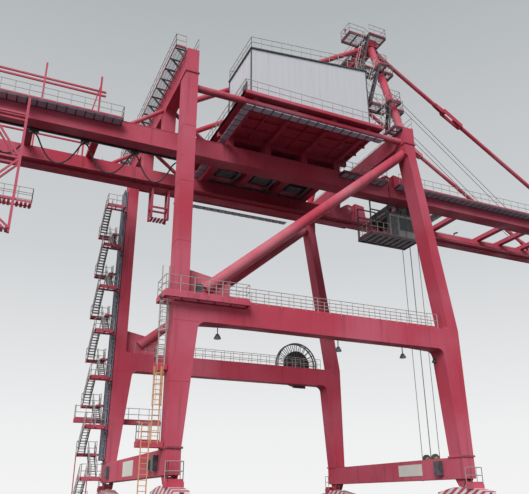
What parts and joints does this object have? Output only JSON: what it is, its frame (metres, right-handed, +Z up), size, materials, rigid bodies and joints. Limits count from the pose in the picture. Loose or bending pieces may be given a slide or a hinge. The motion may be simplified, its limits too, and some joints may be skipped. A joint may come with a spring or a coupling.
{
  "type": "ship-to-shore container crane, 1:10 scale model",
  "caption": "Rail-mounted quay crane with portal legs, box girders, a hinged boom on folding stays, a trolley, a cab and a spreader",
  "frame": {"origin": "on the head of the landside rail, midway between the legs along the rails", "axes": "+X from the landside rail to the waterside rail and out along the boom, +Y along the rails to the far side, +Z up"},
  "size_m": [7.35, 2.735, 4.59],
  "materials": {
    "crane_red": "weathered crimson-red machine enamel",
    "stay_red": "crimson-red enamel on round tube and flat bar",
    "house_sheet": "bluish-white coated sheet cladding",
    "house_trim": "dark grey coated flashing",
    "cab_paint": "grey-green enamel with dark glazing",
    "grating": "dark galvanised grating and frames",
    "machine_grey": "greased grey machine paint",
    "rail_steel": "worn bright running surface",
    "wheel_steel": "cast wheel with a worn tread",
    "pin_steel": "turned pins and shafts",
    "rope_steel": "greased wire rope",
    "spreader_yellow": "worn yellow enamel",
    "buffer_rubber": "black rubber buffer",
    "bogie_stripe": "red enamel with white slanting stripes"
  },
  "bodies": {
    "frame": {"apex_beam": "crane_red", "apex_stay_lugs": "crane_red", "back_stays": "stay_red", "boom_hoist_ropes": "rope_steel", "crossbeam_landside": "crane_red", "crossbeam_waterside": "crane_red", "diagonal_pipes": "stay_red", "fixed_girders": "crane_red", "front_pipes": "stay_red", "girder_ties": "crane_red", "hinge_ears": "crane_red", "hinge_pins": "pin_steel", "house_roof": "house_trim", "legs_landside": "crane_red", "legs_waterside": "crane_red", "machinery_deck": "grating", "machinery_house": "house_sheet", "main_equalizers": "bogie_stripe", "portal_beams": "crane_red", "rail_buffers": "buffer_rubber", "rail_wheels": "wheel_steel", "runway_rails": "rail_steel", "sill_beams": "crane_red", "sub_equalizers": "crane_red", "tie_pipes": "stay_red", "wheel_trucks": "crane_red"},
    "boom": {"boom_girders": "crane_red", "boom_ties": "crane_red", "boom_rails": "rail_steel", "boom_root_brackets": "crane_red", "boom_stay_lugs": "crane_red"},
    "stay_upper": {"forestay_upper_links": "stay_red"},
    "stay_lower": {"forestay_lower_links": "stay_red"},
    "trolley": {"trolley_frame": "machine_grey", "trolley_wheels": "wheel_steel", "sheave_carrier": "machine_grey", "operator_cab": "cab_paint", "cab_hangers": "machine_grey", "cab_platform": "grating"},
    "hoist": {"hoist_sheaves": "machine_grey", "hoist_ropes": "rope_steel", "head_block": "spreader_yellow", "headblock_sheaves": "machine_grey", "spreader": "spreader_yellow"}
  },
  "joints": [
    {"name": "boom_hinge", "type": "hinge", "parent": "frame", "child": "boom", "pos_m": [2.14, 0, 2.97], "axis": [0, -1, 0], "range_deg": [0, 80], "deforming": ["boom_hoist_ropes"]},
    {"name": "stay_upper_fold", "type": "hinge", "parent": "frame", "child": "stay_upper", "pos_m": [2.16, 0, 4.5], "axis": [0, -1, 0], "range_deg": [-57.4, 0]},
    {"name": "stay_lower_fold", "type": "hinge", "parent": "boom", "child": "stay_lower", "pos_m": [4.705, 0, 2.955], "axis": [0, -1, 0], "range_deg": [0, 29.6]},
    {"name": "trolley_travel", "type": "slide", "parent": "boom", "child": "trolley", "axis": [1, 0, 0], "range_m": [-0.12, 2.6]},
    {"name": "rope_swing", "type": "hinge", "parent": "trolley", "child": "hoist", "pos_m": [2.64, 0, 2.76], "axis": [0, -1, 0], "range_deg": [-80.5, 0]}
  ],
  "couplings": [
    {"joint": "stay_upper_fold", "follows": "boom_hinge", "ratio": -0.71442},
    {"joint": "stay_lower_fold", "follows": "boom_hinge", "ratio": 0.36718},
    {"joint": "rope_swing", "follows": "boom_hinge", "ratio": -1}
  ]
}
